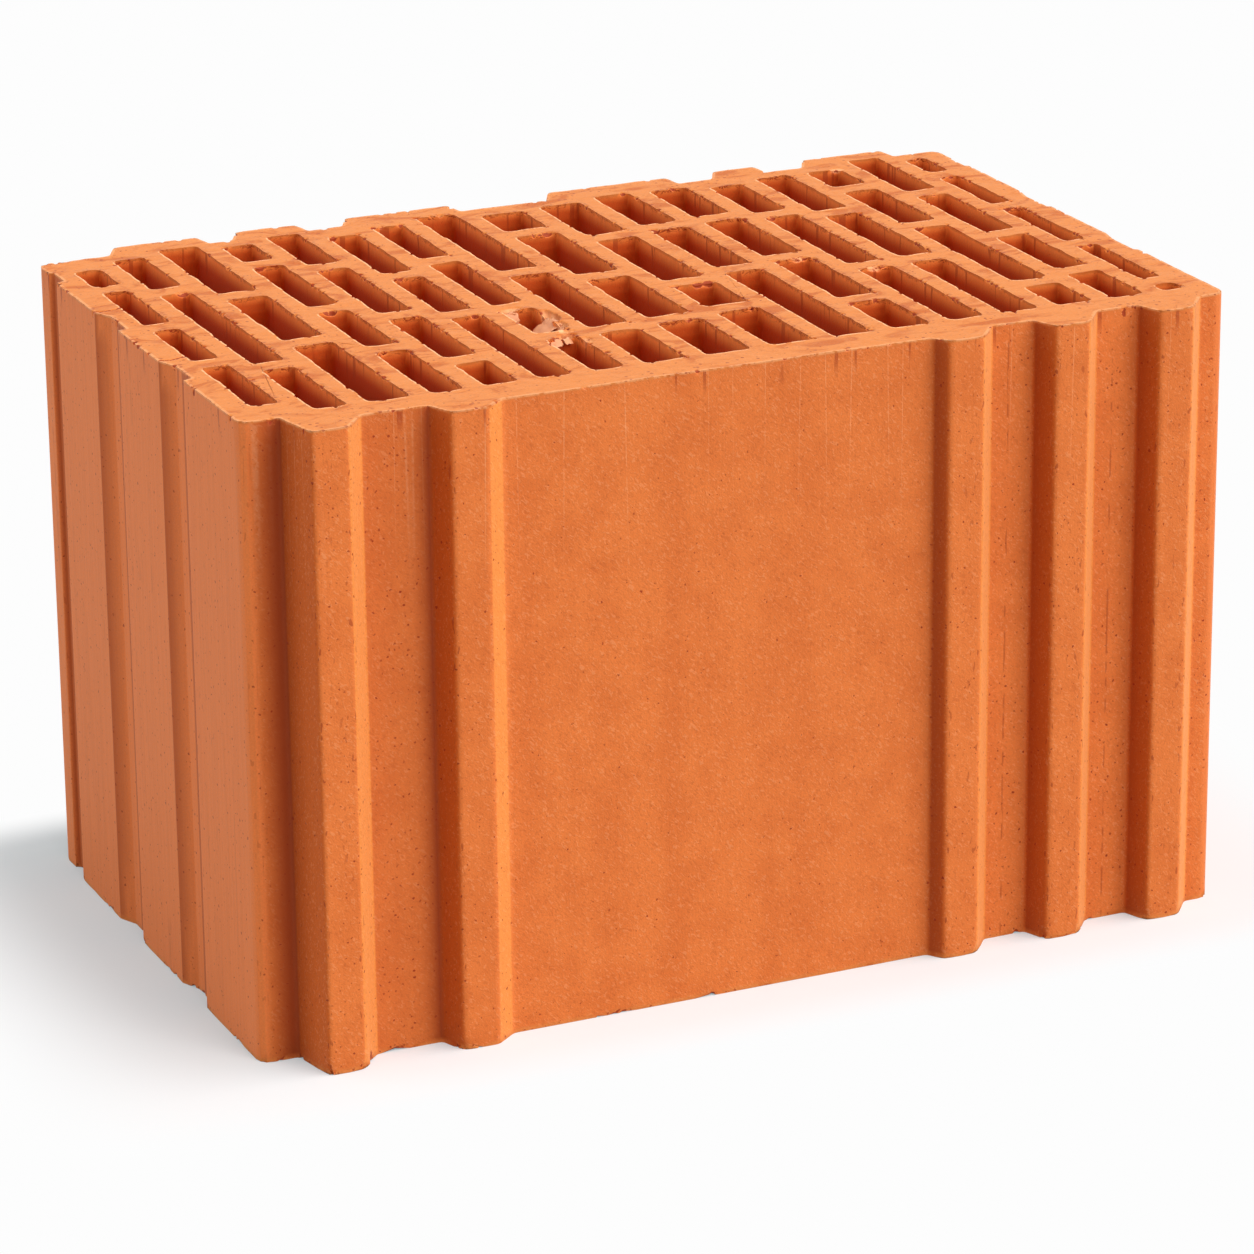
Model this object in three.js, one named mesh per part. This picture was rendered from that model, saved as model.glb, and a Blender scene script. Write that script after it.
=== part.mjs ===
// A perforated clay wall block: one extruded and fired piece with vertical slots all the way through.
// Its long sides carry tongues that interlock with the next block, and its ends carry plaster keys.
//
// Millimetres, +Z up. X runs along the block, through the thickness of the wall it builds.
// The origin is the middle of the footprint, on the bottom bed face.

import * as THREE from 'three';

// Overall size, over the tongues.
const length = 380;
const depth = 248;
const height = 238;
const cornerRadius = 5;

// Front tongues: two near the left end and three near the right end, all of one section.
// From left to right a tongue has a steep flank, a flat face and a long bevel.
const tongueHeight = 10.5;
const tongueRise = 4;
const tongueFace = 13.6;
const tongueFall = 8.4;
const tongueEdgeRadius = 1.5;
const leftTongues = { count: 2, start: 14.4, pitch: 51.2 };
const rightTongues = { count: 3, end: 11, pitch: 42.7 };
const cornerRecess = 20;
const panelRecess = 6.5;

// Back tongues. Each stands behind the slot columns from first to last, counted from the left end.
// Its feet lie that many long webs beyond the columns' sides: lead on the left, tail on the right.
// The long bevel is on the left and the steep flank on the right.
const backTongueHeight = 10;
const backTongueRise = 5;
const backTongueFall = 1.5;
const backTongues = [
  { first: 2, last: 3, lead: -0.2, tail: 0.75 },
  { first: 5, last: 5, lead: 1.65, tail: 0.65 },
  { first: 7, last: 8, lead: 1.15, tail: 0.5 },
  { first: 11, last: 12, lead: 2.3, tail: 0 },
  { first: 14, last: 14, lead: 1.95, tail: -0.7 },
  { first: 15, last: 16, lead: -0.25, tail: 0.9 },
];

// Plaster keys: three upright grooves in both ends, steep in front and bevelled at the back.
// The last one opens into a strip along the back corner, which lies a little below the lands.
const keyCount = 3;
const keyFrontLand = 55.4;
const keyFloor = 17.3;
const keyBevel = 8;
const keySteep = 1;
const leftKeyDepth = 3.5;
const rightKeyDepth = 1.5;
const lastKeyFloor = 12.5;
const stripWidth = 12.7;
const stripShare = 0.45;

// Slots. Each column has a share of the length that the walls leave, and cross webs placed
// by their share of the distance from the front shell to the back shell. Its reach says how far
// it passes the back shell's line into the back tongues, as a share of their height.
const endShell = 10.4;
const frontShell = 12.5;
const backShell = 11;
const longWeb = 7.8;
const crossWeb = 8.6;
const slotRadius = 2.6;
const cornerSlotSetback = 13;
const columns = [
  { share: 10.2, webs: [0.33, 0.575, 0.845], setback: cornerSlotSetback, reach: -0.5 },
  { share: 12.2, webs: [0.27, 0.785], reach: 0.3 },
  { share: 15.5, webs: [0.38, 0.705], reach: 0.95 },
  { share: 12.2, webs: [0.28, 0.555, 0.88], reach: 0.25 },
  { share: 12.8, webs: [0.16, 0.46, 0.81], reach: 0.95 },
  { share: 12.4, webs: [0.42, 0.695], reach: -0.2 },
  { share: 12.4, webs: [0.225, 0.42, 0.76], reach: 0.3 },
  { share: 15.8, webs: [0.22, 0.62], reach: 0.9 },
  { share: 17.4, webs: [0.23, 0.535, 0.86], reach: 0.1 },
  { share: 16.9, webs: [0.245, 0.43, 0.77], reach: 0.3 },
  { share: 15.2, webs: [0.47, 0.79], reach: 0.7 },
  { share: 15.6, webs: [0.195, 0.5, 0.8], reach: 0.5 },
  { share: 13.9, webs: [0.385, 0.775], reach: 0 },
  { share: 14.2, webs: [0.385, 0.735], reach: 0.4 },
  { share: 14.5, webs: [0.15, 0.585, 0.875], reach: 0.3 },
  { share: 13.4, webs: [0.19, 0.465, 0.785], reach: 1.2 },
  { share: 8.7, webs: [0.06, 0.345, 0.635, 0.89], reach: 0.3 },
];

const segmentsPerFillet = 3;

const firedClay = new THREE.MeshStandardMaterial({
  name: 'fired_clay',
  color: new THREE.Color(0.74, 0.3, 0.13),
  roughness: 0.93,
  metalness: 0,
});

// Places in the plan. The outline and the slots are laid out from the left front corner of the
// bounding rectangle, and the finished solid is centred on the origin.
const recessLine = tongueHeight;
const backLine = depth - backTongueHeight;

/** A corner of the outline, with the radius that rounds it. */
function corner(x, y, radius = 0) {
  return { point: new THREE.Vector2(x, y), radius };
}

/** Adds a closed run of corners to a Shape or Path. A fillet never takes more than half a side. */
function traceRounded(path, corners) {
  corners.forEach(({ point, radius }, index) => {
    const previous = corners.at(index - 1).point;
    const next = corners[(index + 1) % corners.length].point;
    const halfShortest = Math.min(point.distanceTo(previous), point.distanceTo(next)) / 2;
    const setback = Math.min(radius, halfShortest);
    const entry = point.clone().add(previous.clone().sub(point).setLength(setback));
    const exit = point.clone().add(next.clone().sub(point).setLength(setback));
    if (index === 0) path.moveTo(entry.x, entry.y);
    else path.lineTo(entry.x, entry.y);
    if (setback > 0) path.quadraticCurveTo(point.x, point.y, exit.x, exit.y);
  });
  path.closePath();
  return path;
}

/** The left feet of the front tongues, from left to right. */
function frontTongueStarts() {
  const tongueWidth = tongueRise + tongueFace + tongueFall;
  const lastStart = length - rightTongues.end - tongueWidth;
  const left = Array.from(
    { length: leftTongues.count },
    (_, index) => leftTongues.start + index * leftTongues.pitch,
  );
  const right = Array.from(
    { length: rightTongues.count },
    (_, index) => lastStart - (rightTongues.count - 1 - index) * rightTongues.pitch,
  );
  return [...left, ...right];
}

/** The front side from left to right: the corner recess, the tongues and the plain panel. */
function frontCorners() {
  const starts = frontTongueStarts();
  const panelAfter = leftTongues.count - 1;
  const levelBefore = (index) => {
    if (index === 0) return cornerRecess;
    return index === panelAfter + 1 ? panelRecess : recessLine;
  };
  const levelAfter = (index) => (index === panelAfter ? panelRecess : recessLine);
  const tongues = starts.flatMap((start, index) => {
    const faceStart = start + tongueRise;
    const faceEnd = faceStart + tongueFace;
    return [
      corner(start, levelBefore(index), tongueEdgeRadius),
      corner(faceStart, 0, tongueEdgeRadius),
      corner(faceEnd, 0, tongueEdgeRadius),
      corner(faceEnd + tongueFall, levelAfter(index), tongueEdgeRadius),
    ];
  });
  return [
    corner(0, cornerRecess, cornerRadius),
    ...tongues,
    corner(length, recessLine, cornerRadius),
  ];
}

/** The left and right sides of every slot column. */
function columnSpans() {
  const shares = columns.reduce((sum, { share }) => sum + share, 0);
  const slotLength = length - 2 * endShell - (columns.length - 1) * longWeb;
  let left = endShell;
  return columns.map(({ share }) => {
    const span = { left, right: left + (share / shares) * slotLength };
    left = span.right + longWeb;
    return span;
  });
}

/** The back side from left to right. */
function backCorners() {
  const spans = columnSpans();
  return backTongues.flatMap(({ first, last, lead, tail }) => {
    const start = spans[first - 1].left - lead * longWeb;
    const end = spans[last - 1].right + tail * longWeb;
    return [
      corner(start, backLine, tongueEdgeRadius),
      corner(start + backTongueRise, depth, tongueEdgeRadius),
      corner(end - backTongueFall, depth, tongueEdgeRadius),
      corner(end, backLine, tongueEdgeRadius),
    ];
  });
}

/** One end from front to back, as steps inward from the end plane. Its front corner is left out. */
function keySteps(keyDepth) {
  const stripDepth = stripShare * keyDepth;
  const firstStart = cornerRecess + keyFrontLand;
  const lastStart = backLine - stripWidth - keySteep - lastKeyFloor;
  const pitch = (lastStart - firstStart) / (keyCount - 1);
  const wholeKeys = Array.from({ length: keyCount - 1 }, (_, index) => {
    const start = firstStart + index * pitch;
    return [
      { y: start, inward: 0 },
      { y: start + keySteep, inward: keyDepth },
      { y: start + keyFloor, inward: keyDepth },
      { y: start + keyFloor + keyBevel, inward: 0 },
    ];
  });
  return [
    ...wholeKeys.flat(),
    { y: lastStart, inward: 0 },
    { y: lastStart + keySteep, inward: keyDepth },
    { y: lastStart + lastKeyFloor, inward: keyDepth },
    { y: lastStart + lastKeyFloor + keySteep, inward: stripDepth },
    { y: backLine, inward: stripDepth, radius: cornerRadius },
  ];
}

/** The whole outline, anticlockwise from the left front corner. */
function blockOutline() {
  const rightEnd = keySteps(rightKeyDepth).map(({ y, inward, radius }) =>
    corner(length - inward, y, radius));
  const leftEnd = keySteps(leftKeyDepth).map(({ y, inward, radius }) =>
    corner(inward, y, radius));
  return traceRounded(new THREE.Shape(), [
    ...frontCorners(),
    ...rightEnd,
    ...backCorners().reverse(),
    ...leftEnd.reverse(),
  ]);
}

/** One slot, from its left front corner. */
function slotPath(left, right, front, back) {
  return traceRounded(new THREE.Path(), [
    corner(left, front, slotRadius),
    corner(left, back, slotRadius),
    corner(right, back, slotRadius),
    corner(right, front, slotRadius),
  ]);
}

/** All slots, column by column from the left end. */
function slotPaths() {
  const spans = columnSpans();
  const fieldFront = recessLine + frontShell;
  const fieldBack = backLine - backShell;
  return columns.flatMap(({ webs, setback = 0, reach }, index) => {
    const { left, right } = spans[index];
    const webMiddles = webs.map((web) => fieldFront + web * (fieldBack - fieldFront));
    const fronts = [fieldFront + setback, ...webMiddles.map((y) => y + crossWeb / 2)];
    const backs = [...webMiddles.map((y) => y - crossWeb / 2), fieldBack + reach * backTongueHeight];
    return fronts.map((front, row) => slotPath(left, right, front, backs[row]));
  });
}

/** The block: its outline with every slot cut through, drawn up from bed face to bed face. */
function perforatedBlock() {
  const outline = blockOutline();
  outline.holes.push(...slotPaths());
  const geometry = new THREE.ExtrudeGeometry(outline, {
    depth: height,
    bevelEnabled: false,
    curveSegments: segmentsPerFillet,
  });
  const mesh = new THREE.Mesh(geometry, firedClay);
  mesh.name = 'clay_block';
  mesh.position.set(-length / 2, -depth / 2, 0);
  return mesh;
}

const block = new THREE.Group();
block.add(perforatedBlock());

export default block;
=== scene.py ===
"""A perforated fired clay wall block, on a plain floor in soft studio light."""

import math
import random
from functools import partialmethod

import bmesh
import bpy
import numpy as np
from mathutils import Matrix, Vector, noise


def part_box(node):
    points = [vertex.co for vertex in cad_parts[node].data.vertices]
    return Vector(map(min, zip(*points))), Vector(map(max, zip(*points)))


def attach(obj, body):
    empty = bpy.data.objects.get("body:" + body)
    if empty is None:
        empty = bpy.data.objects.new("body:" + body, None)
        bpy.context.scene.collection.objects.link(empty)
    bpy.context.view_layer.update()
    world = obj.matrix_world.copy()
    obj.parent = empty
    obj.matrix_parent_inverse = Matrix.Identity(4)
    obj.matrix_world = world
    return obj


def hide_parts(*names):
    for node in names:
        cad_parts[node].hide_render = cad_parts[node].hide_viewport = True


bl_info = {
    "name": "Perforated clay block",
    "version": (1, 0, 0),
    "blender": (4, 5, 0),
    "location": "3D View > Sidebar > Clay block",
    "description": "Makes a fired clay wall block with vertical slots, and a plain studio for it",
    "category": "Object",
}

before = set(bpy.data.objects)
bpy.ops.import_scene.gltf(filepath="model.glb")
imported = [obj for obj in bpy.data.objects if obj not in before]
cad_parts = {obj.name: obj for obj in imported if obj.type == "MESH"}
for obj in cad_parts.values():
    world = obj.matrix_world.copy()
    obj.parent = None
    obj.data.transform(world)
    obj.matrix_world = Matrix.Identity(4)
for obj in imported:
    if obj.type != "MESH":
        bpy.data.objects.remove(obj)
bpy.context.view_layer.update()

NODE = "clay_block"
LOW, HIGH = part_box(NODE)
MM = 0.001

# Places on the block in millimetres: its ends, its front side, and its height from 0 to TALL.
LEFT, FRONT = LOW.x / MM, LOW.y / MM
RIGHT, TALL = HIGH.x / MM, HIGH.z / MM

# The plaster keys lie within KEY_ZONE of an end, and the rims' finer mesh within RIM_ZONE of a bed.
KEY_ZONE = 5
RIM_ZONE = 5
SLOT_CORNER_RADIUS = 2.6

# The two front slots of the seventh column, by their places in the sorted list of slots.
CAVED_SLOTS = (21, 22)

# Where a dotted scratch runs down each of the two recesses on the right, in metres along the block.
SCRATCHES = (0.1005, 0.1432)


# ---------------------------------------------------------------- sizes and colours

class BlockSizes(bpy.types.PropertyGroup):
    slot_rim: bpy.props.FloatProperty(
        name="Slot rim", description="Width of the rounding round each slot",
        default=0.5 * MM, min=0.0, unit="LENGTH", precision=5)
    outer_rim: bpy.props.FloatProperty(
        name="Outer rim", description="Width of the rounding round the two bed faces",
        default=0.9 * MM, min=0.0, unit="LENGTH", precision=5)
    key_edge: bpy.props.FloatProperty(
        name="Key edges", description="Width of the rounding on the edges of the plaster keys",
        default=0.4 * MM, min=0.0, unit="LENGTH", precision=5)
    ragged: bpy.props.FloatProperty(
        name="Ragged rims", description="How far the slot rims wander sideways",
        default=0.4 * MM, min=0.0, unit="LENGTH", precision=5)
    tear_depth: bpy.props.FloatProperty(
        name="Tears", description="Depth of the tears that the cutting wire leaves",
        default=1.2 * MM, min=0.0, unit="LENGTH", precision=5)
    web_dip: bpy.props.FloatProperty(
        name="Web dip", description="Unevenness of the cut face between the slots",
        default=0.35 * MM, min=0.0, unit="LENGTH", precision=5)
    seed: bpy.props.IntProperty(
        name="Seed", description="Start of the random draws", default=7)


class ClayColours(bpy.types.PropertyGroup):
    face: bpy.props.FloatVectorProperty(
        name="Face", description="Colour of the extruded outer faces",
        subtype="COLOR", default=(0.765, 0.19, 0.036), min=0.0, max=1.0)
    face_dark: bpy.props.FloatVectorProperty(
        name="Face, darker", description="Darker patches of the outer faces",
        subtype="COLOR", default=(0.695, 0.159, 0.027), min=0.0, max=1.0)
    # The bevel colour is a painted highlight: lighter than the face where the bevels turn to the lamp
    # on the right.
    bevel: bpy.props.FloatVectorProperty(
        name="Bevel", description="Rubbed clay on the long bevels of the tongues",
        subtype="COLOR", default=(0.84, 0.26, 0.05), min=0.0, max=1.0)
    # The flank colour is painted shade on the steep flanks that face away from the lamp.
    shaded_flank: bpy.props.FloatVectorProperty(
        name="Flank", description="Deeper red clay on the steep flanks of the tongues",
        subtype="COLOR", default=(0.61, 0.112, 0.006), min=0.0, max=1.0)
    end: bpy.props.FloatVectorProperty(
        name="End", description="Colour of the two keyed ends",
        subtype="COLOR", default=(0.82, 0.208, 0.046), min=0.0, max=1.0)
    end_dark: bpy.props.FloatVectorProperty(
        name="End, darker", description="Streaks on the two keyed ends",
        subtype="COLOR", default=(0.715, 0.168, 0.033), min=0.0, max=1.0)
    cut: bpy.props.FloatVectorProperty(
        name="Cut face", description="Colour of the wire-cut bed faces",
        subtype="COLOR", default=(0.69, 0.215, 0.045), min=0.0, max=1.0)
    cut_dark: bpy.props.FloatVectorProperty(
        name="Cut face, smeared", description="Colour of the smears on the cut faces",
        subtype="COLOR", default=(0.53, 0.115, 0.01), min=0.0, max=1.0)
    # The lip colour is a painted highlight on the slot lips that face the light, and the pale colour of
    # scratches, grains and seams.
    lip: bpy.props.FloatVectorProperty(
        name="Lip", description="Colour of rubbed lips and scratches",
        subtype="COLOR", default=(0.98, 0.51, 0.25), min=0.0, max=1.0)
    # The slot walls are painted light at the rim and darker deeper down, and on the back walls from
    # just below the rim, as painted shade. The deeper colour also draws their streaks.
    slot: bpy.props.FloatVectorProperty(
        name="Slot", description="Colour of the slot walls",
        subtype="COLOR", default=(0.98, 0.29, 0.052), min=0.0, max=1.0)
    slot_shade_and_streaks: bpy.props.FloatVectorProperty(
        name="Slot, deeper", description="Colour of the slot walls below the rim, and of their streaks",
        subtype="COLOR", default=(0.53, 0.055, 0.0), min=0.0, max=1.0)
    # The crease colour is painted shade for the hollow corners of the outside, where less light
    # reaches.
    crease: bpy.props.FloatVectorProperty(
        name="Crease", description="Colour of the hollow corners of the outside",
        subtype="COLOR", default=(0.34, 0.045, 0.002), min=0.0, max=1.0)
    # Pale broken clay, made lighter still as painted light on the caved rims and flakes that turn into
    # the slots' shade.
    broken_clay_and_light: bpy.props.FloatVectorProperty(
        name="Dust", description="Colour of pale broken clay",
        subtype="COLOR", default=(0.95, 0.48, 0.23), min=0.0, max=1.0)
    # The torn colour is dark clay for tears, cracks and chips, and painted shade in pores and gashes.
    torn: bpy.props.FloatVectorProperty(
        name="Torn clay", description="Colour of tears, pores and cracks",
        subtype="COLOR", default=(0.30, 0.024, 0.0), min=0.0, max=1.0)


class StudioSettings(bpy.types.PropertyGroup):
    floor: bpy.props.FloatVectorProperty(
        name="Floor", description="Colour of the floor",
        subtype="COLOR", default=(0.573, 0.509, 0.493), min=0.0, max=1.0)
    floor_bounce: bpy.props.FloatVectorProperty(
        name="Floor, as a reflector", description="Colour of the light that the floor sends back",
        subtype="COLOR", default=(0.42, 0.42, 0.42), min=0.0, max=1.0)
    floor_glow: bpy.props.FloatVectorProperty(
        name="Floor glow", description="Light that the camera sees on top of the lit floor",
        subtype="COLOR", default=(0.216, 0.302, 0.323), min=0.0, max=1.0)
    sky: bpy.props.FloatProperty(
        name="Sky", description="Strength of the even light from all sides",
        default=0.38, min=0.0)
    key: bpy.props.FloatProperty(
        name="Key", description="Strength of the lamp on the right",
        default=3.6, min=0.0)
    fill: bpy.props.FloatProperty(
        name="Fill", description="Strength of the lamp behind the left end",
        default=1.0, min=0.0)
    shadow_start: bpy.props.FloatProperty(
        name="Shadow, full", description="How far from the block its shadow begins to fade",
        default=0.015, min=0.0, unit="LENGTH", precision=3)
    shadow_end: bpy.props.FloatProperty(
        name="Shadow, gone", description="How far from the block its shadow has faded away",
        default=0.095, min=0.001, unit="LENGTH", precision=3)
    backdrop: bpy.props.FloatVectorProperty(
        name="Backdrop", description="White of the floor away from the block",
        subtype="COLOR", default=(0.982, 0.982, 0.982), min=0.0, max=1.0)
    floor_size: bpy.props.FloatProperty(
        name="Floor size", description="Side of the floor",
        default=16.0, min=1.0, unit="LENGTH")
    lens: bpy.props.FloatProperty(
        name="Lens", description="Focal length of the camera",
        default=158.36, min=1.0, unit="CAMERA")


# ---------------------------------------------------------------- the plan of the block
# The mesh is worked in millimetres and brought back to metres at the end.

def is_flat(face):
    return abs(face.normal.z) > 0.99


def is_upright(edge):
    return abs(edge.verts[0].co.z - edge.verts[1].co.z) > 0.9 * TALL


def wall_islands(bm):
    """The upright faces that hang together: one set for each slot and one for the outside."""
    left = {face for face in bm.faces if abs(face.normal.z) < 0.5}
    while left:
        queue = [left.pop()]
        island = []
        while queue:
            face = queue.pop()
            island.append(face)
            for edge in face.edges:
                for other in edge.link_faces:
                    if other in left:
                        left.remove(other)
                        queue.append(other)
        yield island


class Plan:
    """Where the slots and the outline run, seen from above, with a map of what is nearest."""

    def __init__(self, bm):
        boxes = []
        for island in wall_islands(bm):
            points = [vert.co for face in island for vert in face.verts]
            low_x, high_x = min(p.x for p in points), max(p.x for p in points)
            low_y, high_y = min(p.y for p in points), max(p.y for p in points)
            if high_x - low_x < 0.5 * (RIGHT - LEFT):
                boxes.append((low_x, high_x, low_y, high_y))
                continue
            rim = {edge for face in island for edge in face.edges
                   if all(vert.co.z > TALL - 0.01 for vert in edge.verts)}
            self.outline = np.array(sorted(sorted(tuple(v.co.xy) for v in e.verts) for e in rim))
        self.boxes = np.array(sorted(boxes))
        self.middle = np.stack([self.boxes[:, :2].mean(1), self.boxes[:, 2:].mean(1)], 1)
        self.half = np.stack([np.ptp(self.boxes[:, :2], 1), np.ptp(self.boxes[:, 2:], 1)], 1) / 2
        # The map has a cell for each millimetre, and a margin round the outline.
        self.corner = np.floor(self.outline.reshape(-1, 2).min(0)) - 2
        self.cells = (np.ceil(self.outline.reshape(-1, 2).max(0)) + 3 - self.corner).astype(int)
        spots = np.stack(np.meshgrid(*[np.arange(n) for n in self.cells], indexing="ij"), -1)
        spots = spots.reshape(-1, 2) + self.corner
        self.slot_map = self.nearest(spots, len(self.boxes), self.from_box)
        self.edge_map = self.nearest(spots, len(self.outline), self.from_segment)
        self.creases = corner_lines(bm, self, hollow=True, least=55)
        self.ridges = corner_lines(bm, self, hollow=False, least=45)

    def nearest(self, spots, count, measure):
        best = np.full(len(spots), np.inf)
        chosen = np.zeros(len(spots), int)
        for index in range(count):
            distance = measure(spots, index)[0]
            closer = distance < best
            best[closer] = distance[closer]
            chosen[closer] = index
        return chosen.reshape(self.cells)

    def from_box(self, points, index):
        """Distance to a slot's wall, below zero inside, and the way out of the slot."""
        offset = points[:, :2] - self.middle[index]
        over = np.abs(offset) - self.half[index] + SLOT_CORNER_RADIUS
        outside = np.maximum(over, 0.0)
        length = np.linalg.norm(outside, axis=1)
        distance = length + np.minimum(over.max(1), 0.0) - SLOT_CORNER_RADIUS
        side = (over >= over.max(1)[:, None]).astype(float)
        way = np.where(length[:, None] > 1e-6, outside / np.maximum(length, 1e-6)[:, None], side)
        return distance, way * np.sign(offset)

    def from_segment(self, points, index):
        """Distance to a piece of the outline, and the way in from it."""
        ends = self.outline[index]
        start, along = ends[..., 0, :], ends[..., 1, :] - ends[..., 0, :]
        share = ((points[:, :2] - start) * along).sum(1)
        share = share / np.maximum((along * along).sum(-1), 1e-9)
        foot = start + np.clip(share, 0.0, 1.0)[:, None] * along
        offset = points[:, :2] - foot
        distance = np.linalg.norm(offset, axis=1)
        return distance, offset / np.maximum(distance, 1e-6)[:, None]

    def cell(self, points):
        spots = np.rint(points[:, :2] - self.corner).astype(int)
        spots = np.clip(spots, 0, self.cells - 1)
        return spots[:, 0], spots[:, 1]

    def to_slot(self, points):
        return self.from_box(points, self.slot_map[self.cell(points)])

    def to_outline(self, points):
        return self.from_segment(points, self.edge_map[self.cell(points)])

    def is_outside(self, spot):
        """Whether a spot on a wall is on the outside of the block, and not in a slot."""
        return self.to_slot(np.array([tuple(spot)]))[0][0] > 1

    def in_slot(self, index, share_x, share_y):
        """A place in a slot, by its shares of the way to the right and to the back."""
        low_x, high_x, low_y, high_y = self.boxes[index].tolist()
        return low_x + share_x * (high_x - low_x), low_y + share_y * (high_y - low_y)


def corner_lines(bm, plan, hollow, least):
    """Where the hollow or the proud upright corners of the outside stand, as points in the plan.
    The edges of one fillet count as one corner, and a corner that turns less is left out."""
    fillet = 2.6
    corners = []
    for edge in bm.edges:
        if not is_upright(edge) or edge.is_convex == hollow or edge.calc_face_angle() < 0.05:
            continue
        spot = tuple(edge.verts[0].co.xy)
        if not plan.is_outside(spot):
            continue
        turn = math.degrees(edge.calc_face_angle())
        for corner in corners:
            if math.dist(spot, corner[0]) < fillet:
                corner[0] = tuple((corner[1] * a + turn * b) / (corner[1] + turn)
                                  for a, b in zip(corner[0], spot))
                corner[1] += turn
                break
        else:
            corners.append([spot, turn])
    return np.array([spot for spot, turn in corners if turn > least])


def plain_solid():
    """The plain block in millimetres, with its loose triangles joined."""
    bm = bmesh.new()
    bm.from_mesh(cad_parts[NODE].data)
    bmesh.ops.scale(bm, vec=(1 / MM,) * 3, verts=bm.verts[:])
    bmesh.ops.remove_doubles(bm, verts=bm.verts[:], dist=0.001)
    bm.normal_update()
    return bm


def smooth(value, start, end):
    """A soft step from 0 at the start to 1 at the end, whichever of the two is larger."""
    share = np.clip((value - start) / (end - start), 0.0, 1.0)
    return share * share * (3 - 2 * share)


def cloud(points, size, seed=0):
    """Smooth noise from -1 to 1 whose lumps are about that size."""
    shifted = points / size + seed * 17.31
    return np.array([noise.noise(p) for p in shifted.tolist()])


# ---------------------------------------------------------------- tears along the rims

def rim_tears(plan, rng, depth):
    """Small gouges at the slot rims: place, three radii and how deep they push."""
    tears = []

    def add(x, y, along_x, size, push):
        long, short = size * rng.uniform(0.9, 1.7), size * rng.uniform(0.7, 1.1)
        radii = (long, short) if along_x else (short, long)
        tears.append((x, y, TALL, *radii, size * rng.uniform(0.8, 1.4), push * rng.uniform(0.6, 1.2)))

    for low_x, high_x, low_y, high_y in plan.boxes.tolist():
        length = high_y - low_y
        # Behind the slot, on its right, on its left and in front of it.
        for _ in range(rng.choice((0, 0, 1, 1, 2, 3))):
            add(rng.uniform(low_x + 0.5, high_x - 0.5), high_y + rng.uniform(-0.1, 0.4), True,
                rng.uniform(0.5, 1.0) ** 2 * 2.1, depth)
        for _ in range(int(length / 11 * rng.uniform(0.6, 1.5))):
            add(high_x + rng.uniform(-0.1, 0.3), rng.uniform(low_y, high_y), False,
                rng.uniform(0.6, 1.2), depth * 0.8)
        for _ in range(int(length / 20 * rng.uniform(0.3, 1.3))):
            add(low_x - rng.uniform(-0.1, 0.3), rng.uniform(low_y, high_y), False,
                rng.uniform(0.6, 1.0), depth * 0.5)
        if rng.random() < 0.5:
            add(rng.uniform(low_x, high_x), low_y - rng.uniform(-0.1, 0.4), True,
                rng.uniform(0.6, 1.1), depth * 0.6)
    return tears


def key_folds(plan):
    """The folds that the wire leaves behind the left plaster keys, each a row of small tears."""
    folds = []
    for key_x, key_y in plan.creases[plan.creases[:, 0] < LEFT + KEY_ZONE].tolist():
        for step in range(8):
            wave = 0.6 * math.sin(1.1 * step + key_y)
            folds.append((key_x - 2.5 + 1.8 * step, key_y + 24.5 + wave, TALL,
                          1.6, 0.65, 1.2, 0.5 - 0.03 * step))
    return folds


# Each wide tear where a rim has caved in: which of the two slots, the place in it, radii, push.
CAVED_RIMS = (
    (1, (1.1, 0.62), (3.0, 7.5, 8.0), 3.4),
    (1, (1.05, 0.25), (2.4, 4.5, 7.0), 2.4),
    (1, (0.35, 1.05), (4.2, 2.4, 3.5), 1.6),
    (1, (0.9, -0.06), (3.6, 1.9, 3.0), 1.7),
    (0, (0.75, 1.05), (4.0, 2.6, 5.0), 2.4),
    (0, (1.1, 0.86), (2.0, 3.6, 4.0), 1.5),
    (0, (1.08, 0.45), (1.4, 2.2, 3.0), 1.1))


def caved_rims(plan):
    return [(*plan.in_slot(CAVED_SLOTS[slot], *shares), TALL, *radii, push)
            for slot, shares, radii, push in CAVED_RIMS]


def outline_nicks(plan, rng):
    """Small chips along the outer rims, and upright nicks in the lower one."""
    nicks = []
    for start, end in plan.outline.tolist():
        length = math.dist(start, end)
        for level, spacing in ((TALL, 16), (0, 20)):
            for _ in range(int(length / spacing * rng.uniform(0.4, 1.6) + rng.random())):
                # The short sides of a fillet keep few of theirs.
                if length < 1.5 and rng.random() < 0.75:
                    continue
                share = rng.random()
                x, y = (a + share * (b - a) for a, b in zip(start, end))
                size = rng.uniform(0.6, 1.5)
                tall = size * (rng.uniform(0.7, 1.3) if rng.random() < 0.7 else rng.uniform(2, 4))
                nicks.append((x, y, level, size, size, tall, rng.uniform(0.35, 0.8) * size))
    return nicks


# ---------------------------------------------------------------- the mesh

def split_long_faces(bm):
    bmesh.ops.triangulate(bm, faces=[face for face in bm.faces if len(face.verts) > 3])
    bm.normal_update()


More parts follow.
